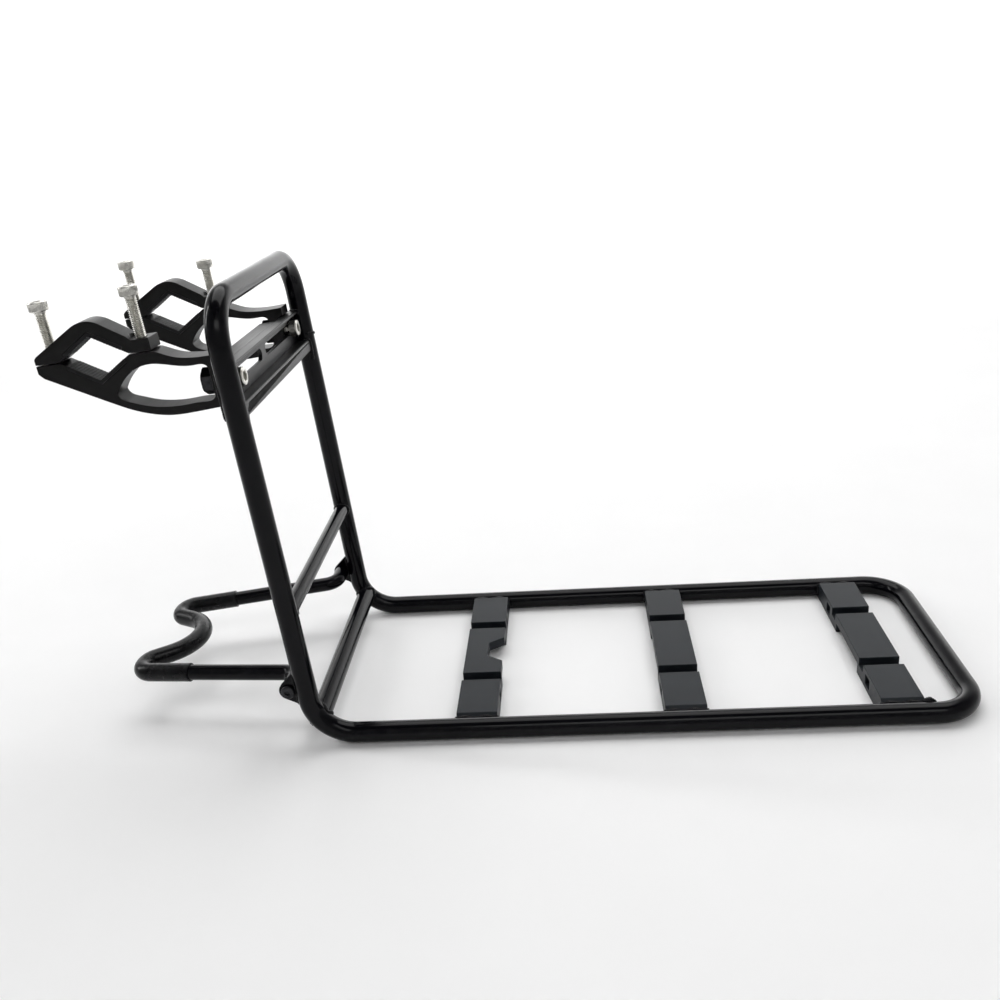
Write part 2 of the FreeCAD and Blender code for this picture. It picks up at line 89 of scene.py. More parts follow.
# %% A socket with operators
class Wire:
    """The output of a node. Python operators on it add Math nodes."""

    def __init__(self, board, socket):
        self.board = board
        self.socket = socket

    def out(self, name):
        """Another output of the same node."""
        return Wire(self.board, self.socket.node.outputs[name])

    def sum(self, operation, *values):
        settings = {"operation": operation}
        return self.board.node("ShaderNodeMath", settings, dict(enumerate(values)))

    def __add__(self, other):
        return self.sum("ADD", self, other)

    def __sub__(self, other):
        return self.sum("SUBTRACT", self, other)

    def __rsub__(self, other):
        return self.sum("SUBTRACT", other, self)

    def __mul__(self, other):
        return self.sum("MULTIPLY", self, other)

    def __truediv__(self, other):
        return self.sum("DIVIDE", self, other)

    def __rtruediv__(self, other):
        return self.sum("DIVIDE", other, self)

    def __neg__(self):
        return self.sum("MULTIPLY", self, -1.0)

    __radd__ = __add__
    __rmul__ = __mul__

    def at_least(self, other):
        return self.sum("MAXIMUM", self, other)

    def at_most(self, other):
        return self.sum("MINIMUM", self, other)

    def fraction(self):
        return self.sum("FRACT", self)

    def size(self):
        return self.sum("ABSOLUTE", self)

    def sine(self):
        return self.sum("SINE", self)

    def cosine(self):
        return self.sum("COSINE", self)

    def root(self):
        return self.sum("SQRT", self)

    def within(self, low, high):
        """Clamp to a range."""
        return self.at_least(low).at_most(high)


class Board:
    """A node tree that is built from nodes, settings and inputs."""

    def __init__(self, tree):
        self.tree = tree

    def node(self, kind, settings=None, inputs=None, output=0):
        """Add a node. Settings come first, because they can change its sockets."""
        made = self.tree.nodes.new(kind)
        for name, value in (settings or {}).items():
            if name == "stops":
                self.set_stops(made.color_ramp, value)
            else:
                setattr(made, name, value)
        for name, value in (inputs or {}).items():
            if isinstance(value, Wire):
                self.tree.links.new(value.socket, made.inputs[name])
            else:
                made.inputs[name].default_value = value
        return Wire(self, made.outputs[output]) if len(made.outputs) else made

    @staticmethod
    def set_stops(ramp, stops):
        while len(ramp.elements) < len(stops):
            ramp.elements.new(0.5)
        for element, (place, grey) in zip(ramp.elements, stops):
            element.position = place
            element.color = (grey, grey, grey, 1.0)


print("sums ready")

# %% [markdown]
# ## Finishes
# Every finish is a Principled shader with three things that vary over the
# surface: its colour, its roughness and a shallow bump. The patterns are read in
# object coordinates. All the objects sit at the origin, so those are metres in
# the rack's own frame, and a noise scale of 1000 means features of a millimetre.


# %% A finish and the patterns it is built from
class Finish(Board):
    """A material with one Principled shader and helpers for its patterns."""

    def __init__(self, name, metallic=0.0, gloss=0.25):
        self.material = bpy.data.materials.new(name)
        self.material.use_nodes = True
        super().__init__(self.material.node_tree)
        self.shader = self.tree.nodes["Principled BSDF"]
        self.shader.inputs["Metallic"].default_value = metallic
        self.shader.inputs["Specular IOR Level"].default_value = gloss
        self.place = self.node("ShaderNodeTexCoord").out("Object")

    def stretched(self, x, y, z):
        """Object coordinates scaled by a different amount along each axis."""
        inputs = {"Vector": self.place, "Scale": (x, y, z)}
        return self.node("ShaderNodeMapping", {}, inputs)

    def noise(self, scale, detail=2.0, rough=0.5, where=None):
        inputs = {"Vector": where or self.place, "Scale": scale}
        inputs.update({"Detail": detail, "Roughness": rough})
        return self.node("ShaderNodeTexNoise", {}, inputs)

    def ramp(self, value, stops):
        return self.node("ShaderNodeValToRGB", {"stops": stops}, {"Fac": value})

    def mix(self, share, low, high):
        """Two colours mixed by a share from 0 to 1."""
        settings = {"data_type": "RGBA"}
        inputs = {0: share, 6: low, 7: high}
        return self.node("ShaderNodeMix", settings, inputs, output=2)

    def bump(self, height, strength, depth, below=None):
        inputs = {"Height": height, "Strength": strength, "Distance": depth * MM}
        if below is not None:
            inputs["Normal"] = below
        return self.node("ShaderNodeBump", {}, inputs)

    def wear(self, low, high):
        """Slow blotches between two roughnesses, as handling leaves them."""
        blotch = self.ramp(self.noise(45, 4.0, 0.6), [(0.35, 0.0), (0.68, 1.0)])
        return low + blotch * (high - low)

    def wire(self, **parts):
        for name, value in parts.items():
            socket = self.shader.inputs[name.replace("_", " ")]
            if isinstance(value, Wire):
                self.tree.links.new(value.socket, socket)
            else:
                socket.default_value = value
        return self.material


def grey(red, green, blue):
    return (red, green, blue, 1.0)


# %% [markdown]
# ### Gloss enamel
# The bent tubes are sprayed with a glossy black that is very slightly violet.
# Sprayed paint is never a mirror: it dries in a fine orange peel about a
# millimetre across, and dust and fingers dull it in blotches.


# %% Gloss enamel for the tubes, ears and welds
def gloss_enamel(name, peel_depth):
    enamel = Finish(name, gloss=0.15)
    drift = enamel.noise(30, 3.0)
    colour = enamel.mix(drift, grey(0.0008, 0.0008, 0.0014), grey(0.0026, 0.0025, 0.0042))
    peel = enamel.bump(enamel.noise(620, 1.0), 0.35, peel_depth)
    dust = enamel.bump(enamel.noise(2400, 0.0), 0.10, 0.02, below=peel)
    rough = enamel.wear(0.10, 0.20)
    return enamel.wire(Base_Color=colour, Roughness=rough, Normal=dust)


tube_enamel = gloss_enamel("gloss_black_enamel", 0.035)
weld_enamel = gloss_enamel("gloss_enamel_over_weld", 0.06)
print("made", tube_enamel.name, "and", weld_enamel.name)

# %% [markdown]
# ### Satin powder coat
# The slats are powder coated in a dark slate satin. Powder flows into tiny
# grains, so it has a fine even texture and scatters light broadly. Bags rub the
# top, which leaves faint streaks along the direction they are pushed in.


# %% Satin powder coat for the slats
def slate_powder():
    powder = Finish("slate_powder_coat", gloss=0.16)
    grain = powder.noise(1500, 2.0, 0.6)
    cloud = powder.noise(38, 3.0)
    rub = powder.noise(160, 3.0, 0.6, where=powder.stretched(0.12, 1.0, 1.0))
    rub_share = powder.ramp(rub, [(0.48, 0.0), (0.74, 1.0)])
    base = powder.mix(cloud, grey(0.009, 0.0115, 0.0145), grey(0.0125, 0.0155, 0.0195))
    colour = powder.mix(rub_share * 0.35, base, grey(0.022, 0.026, 0.031))
    rough = 0.36 + grain * 0.10 + rub_share * 0.06
    texture = powder.bump(grain, 0.30, 0.03)
    return powder.wire(Base_Color=colour, Roughness=rough, Normal=texture)


slat_powder = slate_powder()
print("made", slat_powder.name)

# %% [markdown]
# ### Black anodised extrusion
# The clamps and their rail are cut from extruded bar and anodised black. The die
# leaves long fine lines along the bar, which for all of these runs from side to
# side of the rack. Anodising is a hard thin layer over metal, so it is darker
# and sharper than paint, with a slightly brown cast.


# %% Anodised black for the clamps and the rail
def anodised(name, low, high, line_strength, gloss):
    alloy = Finish(name, gloss=gloss)
    lines = alloy.noise(900, 3.0, 0.6, where=alloy.stretched(1.0, 0.02, 1.0))
    cloud = alloy.noise(60, 3.0)
    colour = alloy.mix(cloud, grey(*low), grey(*high))
    rough = 0.27 + lines * 0.12 + cloud * 0.05
    die = alloy.bump(lines, line_strength, 0.02)
    blast = alloy.bump(alloy.noise(2600, 1.0), 0.12, 0.015, below=die)
    return alloy.wire(Base_Color=colour, Roughness=rough, Normal=blast)


clamp_black = anodised(
    "clamp_black_anodised",
    low=(0.0018, 0.0017, 0.0018),
    high=(0.0045, 0.0043, 0.0045),
    line_strength=0.16,
    gloss=0.2,
)
rail_black = anodised(
    "rail_black_anodised",
    low=(0.0030, 0.0032, 0.0036),
    high=(0.0065, 0.0068, 0.0075),
    line_strength=0.20,
    gloss=0.33,
)
print("made", clamp_black.name, "and", rail_black.name)

# %% [markdown]
# ### Rubber
# The sleeve is a moulded tube, smooth with a soft sheen, and it picks up a pale
# bloom. The strips in the clamps are matter and have a fine tooth for grip.


# %% Rubber for the sleeve and the strips
def rubber(name, base, bloom_share, rough_low, rough_high, tooth_scale, tooth):
    compound = Finish(name, gloss=0.22)
    bloom = compound.ramp(compound.noise(85, 5.0, 0.65), [(0.45, 0.0), (0.78, 1.0)])
    pale = tuple(channel * 2.6 + 0.004 for channel in base)
    colour = compound.mix(bloom * bloom_share, grey(*base), grey(*pale))
    rough = rough_low + bloom * (rough_high - rough_low)
    skin = compound.bump(compound.noise(tooth_scale, 2.0, 0.6), tooth, 0.05)
    return compound.wire(Base_Color=colour, Roughness=rough, Normal=skin)


sleeve_rubber = rubber(
    "sleeve_rubber",
    base=(0.0022, 0.0023, 0.0030),
    bloom_share=0.25,
    rough_low=0.26,
    rough_high=0.40,
    tooth_scale=900,
    tooth=0.14,
)
strip_rubber = rubber(
    "strip_rubber",
    base=(0.0050, 0.0050, 0.0056),
    bloom_share=0.4,
    rough_low=0.50,
    rough_high=0.68,
    tooth_scale=1700,
    tooth=0.40,
)
print("made", sleeve_rubber.name, "and", strip_rubber.name)

# %% [markdown]
# ### Stainless steel and black oxide
# The long bolts are stainless. Cold heading and turning leave fine rings round
# them, so their roughness varies along the bolt. The nuts are blackened steel,
# which is a metal too, only darker and duller.


# %% Metal for the fasteners
def fastener_metal(name, low, high, rough_low, rough_high):
    metal = Finish(name, metallic=1.0, gloss=0.5)
    rings = metal.noise(1100, 2.0, 0.6, where=metal.stretched(0.25, 0.25, 1.0))
    stain = metal.ramp(metal.noise(240, 4.0, 0.6), [(0.40, 0.0), (0.75, 1.0)])
    colour = metal.mix(stain, grey(*high), grey(*low))
    rough = rough_low + rings * (rough_high - rough_low) + stain * 0.06
    turned = metal.bump(rings, 0.20, 0.02)
    return metal.wire(Base_Color=colour, Roughness=rough, Normal=turned)


stainless = fastener_metal(
    "stainless_steel",
    low=(0.46, 0.445, 0.40),
    high=(0.70, 0.69, 0.65),
    rough_low=0.20,
    rough_high=0.36,
)
black_oxide = fastener_metal(
    "black_oxide_steel",
    low=(0.020, 0.020, 0.022),
    high=(0.045, 0.045, 0.048),
    rough_low=0.32,
    rough_high=0.5,
)
print("made", stainless.name, "and", black_oxide.name)

# %% [markdown]
# ## Geometry node tools
# A bent tube, a screw thread, a weld bead and a row of ribs each follow a rule,
# so each is made by a small node tree with named inputs. A tree runs once, its
# result is kept as a plain mesh, and its modifier goes away with its carrier.


# %% A geometry tree with named inputs, and how its result is kept
class Recipe(Board):
    """A geometry node tree with named inputs."""

    def __init__(self, name, inputs):
        super().__init__(bpy.data.node_groups.new(name, "GeometryNodeTree"))
        face = self.tree.interface
        face.new_socket("Geometry", in_out="OUTPUT", socket_type="NodeSocketGeometry")
        face.new_socket("Geometry", in_out="INPUT", socket_type="NodeSocketGeometry")
        for label, kind in inputs.items():
            face.new_socket(label, in_out="INPUT", socket_type="NodeSocket" + kind)
        self.entry = self.node("NodeGroupInput")
        self.geometry = self.entry.out("Geometry")

    def given(self, label):
        return self.entry.out(label)

    def shaded(self, geometry, sharp=0.6):
        """Smooth everywhere except across edges sharper than an angle in radians."""
        soft = self.node("GeometryNodeSetShadeSmooth", {}, {"Geometry": geometry})
        bend = self.node("GeometryNodeInputMeshEdgeAngle")
        compare = {"operation": "GREATER_THAN"}
        crease = self.node("FunctionNodeCompare", compare, {0: bend, 1: sharp})
        inputs = {"Geometry": soft, "Selection": crease, "Shade Smooth": False}
        return self.node("GeometryNodeSetShadeSmooth", {"domain": "EDGE"}, inputs)

    def finish(self, geometry):
        """Realize Instances, Set Material and the tree's output."""
        shaded = {"Geometry": self.shaded(geometry)}
        real = self.node("GeometryNodeRealizeInstances", {}, shaded)
        inputs = {"Geometry": real, "Material": self.given("Material")}
        painted = self.node("GeometryNodeSetMaterial", {}, inputs)
        self.node("NodeGroupOutput", {}, {"Geometry": painted})

    def bake(self, carrier, name, values):
        """Run the tree on a carrier object and keep the result as a new mesh object."""
        modifier = carrier.modifiers.new("recipe", "NODES")
        modifier.node_group = self.tree
        for item in self.tree.interface.items_tree:
            if item.name in values:
                modifier[item.identifier] = values[item.name]
        made = bpy.data.meshes.new_from_object(
            carrier.evaluated_get(bpy.context.evaluated_depsgraph_get())
        )
        bpy.data.objects.remove(carrier)
        return linked(name, made)


def linked(name, data):
    """A new object in the scene."""
    data.name = name
    made = bpy.data.objects.new(name, data)
    bpy.context.scene.collection.objects.link(made)
    return made


def count(piece):
    return sum(len(face.vertices) - 2 for face in piece.data.polygons)


def settle(piece, body, slot, *nodes):
    """Say what a finished piece moves with and hide the parts it stands for. The slot
    argument is not used.
    """
    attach(piece, body)
    if nodes:
        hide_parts(*nodes)
    print(piece.name, "on", body, count(piece), "triangles")


print("recipes ready")

# %% [markdown]
# ## Bars along a line
# A bent tube is straight runs joined by arcs of a set radius. Fillet Curve does
# exactly that to a polyline, and it takes a radius per point, so each corner
# carries its own bend radius in the curve's radius. Curve to Mesh then sweeps a
# circle along the result, and its Scale input makes the bar thicker or thinner
# as it goes. That one tree makes plain tubes, the sleeve with its tapered lips,
# and weld beads, which are bars with ripples and lumps along them.

# %% The recipe for a bar along a line
bar_recipe = Recipe(
    "bar_along_a_line",
    {
        "Bar radius": "Float",
        "Arc steps": "Int",
        "Sides": "Int",
        "Step": "Float",
        "Ripple": "Float",
        "Ripple pitch": "Float",
        "Lump": "Float",
        "Lump pitch": "Float",
        "Wobble": "Float",
        "End taper": "Float",
        "Material": "Material",
    },
)


def bar_tree(recipe):
    """Fillet, resample, work out the thickness along the line, and sweep."""
    given = recipe.given
    bend_radius = recipe.node("GeometryNodeInputRadius")
    inputs = {"Curve": recipe.geometry, "Count": given("Arc steps"), "Radius": bend_radius}
    bent = recipe.node("GeometryNodeFilletCurve", {"mode": "POLY"}, inputs)
    plain = recipe.node("GeometryNodeSetCurveRadius", {}, {"Curve": bent, "Radius": 1.0})
    inputs = {"Curve": plain, "Length": given("Step").at_least(0.00005)}
    fine = recipe.node("GeometryNodeResampleCurve", {"mode": "LENGTH"}, inputs)
    stepped = recipe.node("FunctionNodeCompare", {}, {0: given("Step"), 1: 0.0})
    inputs = {"Switch": stepped, "False": plain, "True": fine}
    line = recipe.node("GeometryNodeSwitch", {"input_type": "GEOMETRY"}, inputs)
    along = recipe.node("GeometryNodeSplineParameter").out("Length")
    total = recipe.node("GeometryNodeSplineLength")
    ripple_wave = (along * (math.pi / given("Ripple pitch"))).sine().size()
    ripple = 1.0 - given("Ripple") * (1.0 - ripple_wave)
    lump = 1.0 + given("Lump") * (along * (2 * math.pi / given("Lump pitch"))).cosine()
    wobble = recipe.node("ShaderNodeTexNoise", {}, {"Scale": 420.0, "Detail": 1.0}) - 0.5
    to_end = along.at_most(total - along)
    taper = ((to_end + 1e-5) / (given("End taper") + 1e-5)).within(0.02, 1.0).root()
    thick = ripple * lump * (1.0 + wobble * given("Wobble")) * taper
    inputs = {"Resolution": given("Sides"), "Radius": given("Bar radius")}
    ring = recipe.node("GeometryNodeCurvePrimitiveCircle", {}, inputs)
    inputs = {"Curve": line, "Profile Curve": ring, "Scale": thick, "Fill Caps": True}
    return recipe.node("GeometryNodeCurveToMesh", {}, inputs)


bar_recipe.finish(bar_tree(bar_recipe))
PLAIN_BAR = {
    "Arc steps": 24,
    "Sides": 48,
    "Step": 0.0,
    "Ripple": 0.0,
    "Ripple pitch": 1.0,
    "Lump": 0.0,
    "Lump pitch": 1.0,
    "Wobble": 0.0,
    "End taper": 0.0,
}


def bar(name, lines, radius, material, **changes):
    """Sweep a bar along lines. A line is (corner points, bend radii in mm, closed)."""
    data = bpy.data.curves.new(name + "_line", "CURVE")
    data.dimensions = "3D"
    for points, bends, closed in lines:
        line = data.splines.new("POLY")
        line.points.add(len(points) - 1)
        line.use_cyclic_u = closed
        for corner, place, bend in zip(line.points, points, bends):
            corner.co = (*place, 1.0)
            corner.radius = bend * MM
    values = dict(PLAIN_BAR)
    values["Bar radius"] = radius * MM
    values["Material"] = material
    for label, value in changes.items():
        values[label.replace("_", " ")] = value
    return bar_recipe.bake(linked(name + "_line", data), name, values)


print("bars ready")

# %% [markdown]
# ### The main loop
# One closed tube makes the deck's two sides, its far end, both uprights and the
# handle across the top. It turns six times.

# %% Bend the main loop
LOW_BEND = 26.0
END_BEND = 24.0
loop_corners = [
    (drawn(0, -HALF_WIDTH, 0), LOW_BEND),
    (drawn(DECK_LENGTH, -HALF_WIDTH, 0), END_BEND),
    (drawn(DECK_LENGTH, HALF_WIDTH, 0), END_BEND),
    (drawn(0, HALF_WIDTH, 0), LOW_BEND),
    (leaned(0, HALF_WIDTH, UPRIGHT), END_BEND),
    (leaned(0, -HALF_WIDTH, UPRIGHT), END_BEND),
]
loop_line = ([c[0] for c in loop_corners], [c[1] for c in loop_corners], True)
loop = bar("main_loop", [loop_line], TUBE_R, tube_enamel)
settle(loop, "frame", "frame_gloss", "main_loop_tube")

# %% [markdown]
# ### Cross tubes
# Two straight tubes tie the sides together: one low down in the front bend and a
# thinner one across the uprights. A fitter copes the ends so that they sit on
# the side tubes. Here they simply run into the side tubes, where nobody sees
# them, and the weld covers the joint.

# %% The two cross tubes
LOW_TUBE = (3.1, 10.8)
MIDDLE_U = 79.0
LOW_TUBE_R = 6.0
MIDDLE_TUBE_R = 4.5
INTO_SIDE = 76.5


def straight(start, end):
    return ([start, end], [0.0, 0.0], False)


low_ends = [drawn(LOW_TUBE[0], side * INTO_SIDE, LOW_TUBE[1]) for side in (-1, 1)]
low_cross = bar("low_cross_tube", [straight(*low_ends)], LOW_TUBE_R, tube_enamel)
settle(low_cross, "frame", "frame_gloss", "bottom_cross_tube")
middle_ends = [leaned(0, side * INTO_SIDE, MIDDLE_U) for side in (-1, 1)]
middle_cross = bar("middle_cross", [straight(*middle_ends)], MIDDLE_TUBE_R, tube_enamel)
settle(middle_cross, "frame", "frame_gloss", "middle_cross_tube")

# %% [markdown]
# ### The folding stay
# The stay is a thinner tube, bent flat and then hung from two pivots, so it
# droops three degrees at rest. Its legs splay towards the pivots and its far end
# has a notch that cradles a head tube. Drawing it level and turning the points
# is simpler than working out tilted points one by one.

# %% Bend the stay
PIVOT_X = -12.5
PIVOT_Z = 29.8
DROOP = math.radians(3.0)
STAY_R = 4.75
LEG_Y = 58.9
LEG_SLOPE = 0.155
TIP_X = -116.5
TIP_INNER_Y = 29.0
NOTCH_X = -64.5
TUBE_END_Y = 74.2
SLEEVE_START_X = -80.8


def leg_y(x):
    return LEG_Y + LEG_SLOPE * (x - PIVOT_X)


def drooped(x, y):
    """A point of the level stay, hung down about its pivots."""
    reach = x - PIVOT_X
    return drawn(PIVOT_X + reach * math.cos(DROOP), y, PIVOT_Z + reach * math.sin(DROOP))


def both_sides(left, left_bends, closing_bend):
    """Mirror the left half of the stay's line and close it through the notch."""
    right = [(x, -y) for x, y in reversed(left)]
    points = [drooped(x, y) for x, y in left + [(NOTCH_X, 0.0)] + right]
    return points, left_bends + [closing_bend] + left_bends[::-1], False


cradle = [(TIP_X, leg_y(TIP_X)), (TIP_X, TIP_INNER_Y)]
stay_half = [(PIVOT_X, TUBE_END_Y), (PIVOT_X, LEG_Y)] + cradle
stay_line = both_sides(stay_half, [0.0, 9.0, 9.0, 8.5], 25.5)
stay = bar("folding_stay", [stay_line], STAY_R, tube_enamel)
settle(stay, "stay", "frame_gloss", "stay_tube")

# %% Slip the sleeve over the cradle
SLEEVE_R = 5.65
sleeve_half = [(SLEEVE_START_X, leg_y(SLEEVE_START_X))] + cradle
sleeve_line = both_sides(sleeve_half, [0.0, 9.0, 8.5], 25.5)
sleeve_finish = {"Step": 1.1 * MM, "End_taper": 0.9 * MM, "Wobble": 0.012}
sleeve = bar("cradle_sleeve", [sleeve_line], SLEEVE_R, sleeve_rubber, **sleeve_finish)
settle(sleeve, "stay", "sleeve_rubber", "stay_sleeve")

# %% [markdown]
# ## Turned parts
# A turned part is a stack of rings. Most rings are round, but a socket for a hex
# key is a ring whose radius follows a hexagon, so a ring may also be a function
# of the angle. The stack is drawn standing up with the underside of the head at
# zero, and is then turned to its place.


# %% Stack rings into a closed shape
def hex_ring(flats, grow=1.0):
    """Radius of a hexagon at an angle, from the size across its flats."""
    sixth = math.pi / 3
    half = sixth / 2
    return lambda angle: grow * flats / 2 / math.cos((angle + half) % sixth - half)


def turned(name, rings, sides):
    """Close a stack of (height, radius) rings, in millimetres, into a mesh object."""
    shape = bmesh.new()
    stack = []
    for height, radius in rings:
        ring = []
        for step in range(sides):
            angle = 2 * math.pi * step / sides
            reach = (radius(angle) if callable(radius) else radius) * MM
            place = (reach * math.cos(angle), reach * math.sin(angle), height * MM)
            ring.append(shape.verts.new(place))
        stack.append(ring)
    for low, high in zip(stack, stack[1:]):
        for step in range(sides):
            after = (step + 1) % sides
            shape.faces.new((low[step], low[after], high[after], high[step]))
    shape.faces.new(stack[0][::-1])
    shape.faces.new(stack[-1])
    bmesh.ops.recalc_face_normals(shape, faces=shape.faces)
    data = bpy.data.meshes.new(name)
    shape.to_mesh(data)
    shape.free()
    return linked(name, data)


def stand(piece, place, direction):
    """Turn a part drawn along z to a direction, and put it in its place."""
    turn = Vector((0, 0, 1)).rotation_difference(direction).to_matrix().to_4x4()
    piece.data.transform(Matrix.Translation(place) @ turn)
    piece.data.update()
    return piece


print("turned parts ready")

# %% [markdown]
# ### Threads and knurls
# A thread is the same wave all the way up a bar, shifted by one pitch per turn.
# Subtracting the angle, in turns, from the height, in pitches, gives a number
# whose fraction says where on the thread a point is. The same tree presses the
# fine ridges into the side of the head, with a cosine of the angle.

# %% The recipe for a screw
screw_recipe = Recipe(
    "screw_thread",
    {
        "Shank radius": "Float",
        "Pitch": "Float",
        "Thread depth": "Float",
        "Thread top": "Float",
        "Knurl low": "Float",
        "Knurl high": "Float",
        "Knurl depth": "Float",
        "Knurl radius": "Float",
        "Ridges": "Float",
        "Material": "Material",
    },
)


def screw_tree(recipe):
    """Press a thread into the shank and ridges into the head of a turned blank."""
    given = recipe.given
    position = recipe.node("GeometryNodeInputPosition")
    x = recipe.node("ShaderNodeSeparateXYZ", {}, {0: position})
    y, z = x.out("Y"), x.out("Z")
    angle = recipe.node("ShaderNodeMath", {"operation": "ARCTAN2"}, {0: y, 1: x})
    reach = (x * x + y * y).root().at_least(1e-6)
    phase = (z / given("Pitch") - angle / (2 * math.pi)).fraction()
    wave = (((phase * 2.0 - 1.0).size() - 0.14) / 0.72).within(0.0, 1.0)
    runout = ((given("Thread top") - z) / given("Pitch")).within(0.0, 1.0)
    floor = given("Shank radius") - wave * given("Thread depth")
    cut = (reach - floor).at_least(0.0) * runout
    fade = 0.0002
    rise = ((z - given("Knurl low")) / fade).within(0.0, 1.0)
    fall = ((given("Knurl high") - z) / fade).within(0.0, 1.0)
    rim = ((reach - given("Knurl radius")) / fade).within(0.0, 1.0)
    ridge = 0.5 - (angle * given("Ridges")).cosine() * 0.5
    press = ridge * given("Knurl depth") * rise * fall * rim
    share = (reach - cut - press) / reach
    place = recipe.node("ShaderNodeCombineXYZ", {}, {0: x * share, 1: y * share, 2: z})
    inputs = {"Geometry": recipe.geometry, "Position": place}
    return recipe.node("GeometryNodeSetPosition", {}, inputs)


screw_recipe.finish(screw_tree(screw_recipe))
M6_PITCH = 1.0
RINGS_PER_PITCH = 6
M6_THREAD = {
    "Shank radius": 3.0 * MM,
    "Pitch": M6_PITCH * MM,
    "Thread depth": 0.58 * MM,
    "Thread top": -0.9 * MM,
    "Knurl low": 0.6 * MM,
    "Knurl high": 4.4 * MM,
    "Knurl depth": 0.16 * MM,
    "Knurl radius": 4.7 * MM,
    "Ridges": 36.0,
    "Material": stainless,
}

M6_HEAD_R = 5.0
M6_HEAD_HEIGHT = 5.2
M6_KEY = 5.0
M5_KEY = 3.0


def m6_screw(name, length, under_head, direction):
    """A socket-head screw with its thread up to the head."""
    rings = [(-length, 2.4)]
    steps = round((length - 0.6) * RINGS_PER_PITCH)
    for step in range(steps + 1):
        rings.append((-(length - 0.6) * (1 - step / steps), 3.0))
    rings += [(0.02, 3.3), (0.02, 4.55), (0.35, 4.9)]
    rings += [(level, M6_HEAD_R) for level in (0.6, 0.85, 2.8, 4.2, 4.4)]
    rings += [(4.65, 4.96), (4.95, 4.75), (5.15, 4.45), (M6_HEAD_HEIGHT, 4.1)]
    rings += [(M6_HEAD_HEIGHT, hex_ring(M6_KEY, 1.12)), (4.92, hex_ring(M6_KEY))]
    rings += [(2.2, hex_ring(M6_KEY)), (1.4, 0.3)]
    blank = turned(name, rings, 72)
    screw = screw_recipe.bake(blank, name, M6_THREAD)
    return stand(screw, under_head, direction)


print("screws ready")

# %% Put in the six long screws
CLAMP_Y = {"left": 62.0, "right": -56.0}
OPENING_N = -73.5
OPENING_U = 232.05
BOLT_OFFSET = {"rear": -25.0, "front": 25.0}
BOSS_TOP = 239.0
GAP = 0.3
WEB_FRONT = -4.0
SLOT_U = 211.0
CLAMP_BOLT_LENGTH = 35.0
MOUNT_BOLT_LENGTH = 16.0
BACKED_OUT = {
    ("left", "rear"): 22.4,
    ("left", "front"): 16.6,
    ("right", "rear"): 19.8,
    ("right", "front"): 21.4,
}
for (side, place), lift in BACKED_OUT.items():
    seat = leaned(OPENING_N + BOLT_OFFSET[place], CLAMP_Y[side], BOSS_TOP + GAP + lift)
    which = side + "_" + place
    screw = m6_screw("clamp_screw_" + which, CLAMP_BOLT_LENGTH, seat, upward)
    settle(screw, "bolt_" + which, "bolt_steel", "clamp_bolt_" + which)
for side in CLAMP_Y:
    seat = leaned(WEB_FRONT + GAP, CLAMP_Y[side], SLOT_U)
    screw = m6_screw("mount_screw_" + side, MOUNT_BOLT_LENGTH, seat, across)
    settle(screw, "clamp_" + side, "bolt_steel", "mount_bolt_" + side)

# %% [markdown]
# ### Pivots
# A shoulder screw passes through each ear into a plug in the end of the stay.
# The plug has a turned nose that keeps the tube off the ear.

# %% Turn the pivot screws and the stay's end plugs
EAR_OUTER = 79.5
EAR_INNER = 76.5
for side, sign in (("left", 1), ("right", -1)):
    outward = Vector((0, sign, 0))
    rings = [(-10.5, 1.9), (-9.9, 2.5), (-0.3, 2.5), (-0.0, 2.7), (0.02, 3.6), (0.3, 3.95)]
    rings += [(0.5, 4.0), (1.4, 4.0), (1.75, 3.88), (2.05, 3.6), (2.2, 3.2)]
    rings += [(2.2, hex_ring(M5_KEY, 1.1)), (2.05, hex_ring(M5_KEY))]
    rings += [(0.9, hex_ring(M5_KEY)), (0.6, 0.2)]
    blank = turned("pivot_screw_" + side, rings, 48)
    plain = dict(M6_THREAD, **{"Thread depth": 0.0, "Shank radius": 2.5 * MM})
    plain.update({"Knurl low": 0.4 * MM, "Knurl high": 1.4 * MM, "Knurl depth": 0.0})
    plain["Material"] = black_oxide
    screw = screw_recipe.bake(blank, "pivot_screw_" + side, plain)
    stand(screw, drawn(PIVOT_X, sign * EAR_OUTER, PIVOT_Z), outward)
    settle(screw, "frame", "nut_black", "pivot_bolt_" + side)
    rings = [(-1.5, 4.2), (0.0, 4.7), (0.35, 4.35), (0.6, 4.05), (1.6, 4.0), (1.9, 3.8)]
    rings += [(2.0, 3.5), (2.0, 2.62), (-1.0, 2.6)]
    plug = turned("stay_end_plug_" + side, rings, 48)
    plug.data.materials.append(tube_enamel)
    plug.data.shade_smooth()
    plug.data.set_sharp_from_angle(angle=math.radians(34))
    stand(plug, drawn(PIVOT_X, sign * TUBE_END_Y, PIVOT_Z), outward)
    settle(plug, "stay", "frame_gloss")

# %% [markdown]
# ## Machined and sawn parts
# The clamps, the rail and the slats are already the right shape in the CAD, but
# its edges are perfectly sharp, and no real edge is. A broken edge catches a
# thin line of light, which is what makes a part look machined. Each of these is
# a copy of the CAD part with its doubled points merged, its flat triangles
# joined into whole faces, and a small round put on its edges.


# %% Copy a CAD part and round its edges
MERGE_DISTANCE = 2e-6
FLAT_ANGLE = math.radians(0.6)
EDGE_ANGLE = math.radians(32)
EDGE = {
    "slat": 0.45,
    "rail": 0.25,
    "box": 0.2,
    "ear": 0.4,
    "clamp": 0.4,
    "nut": 0.15,
    "pad": 0.2,
}


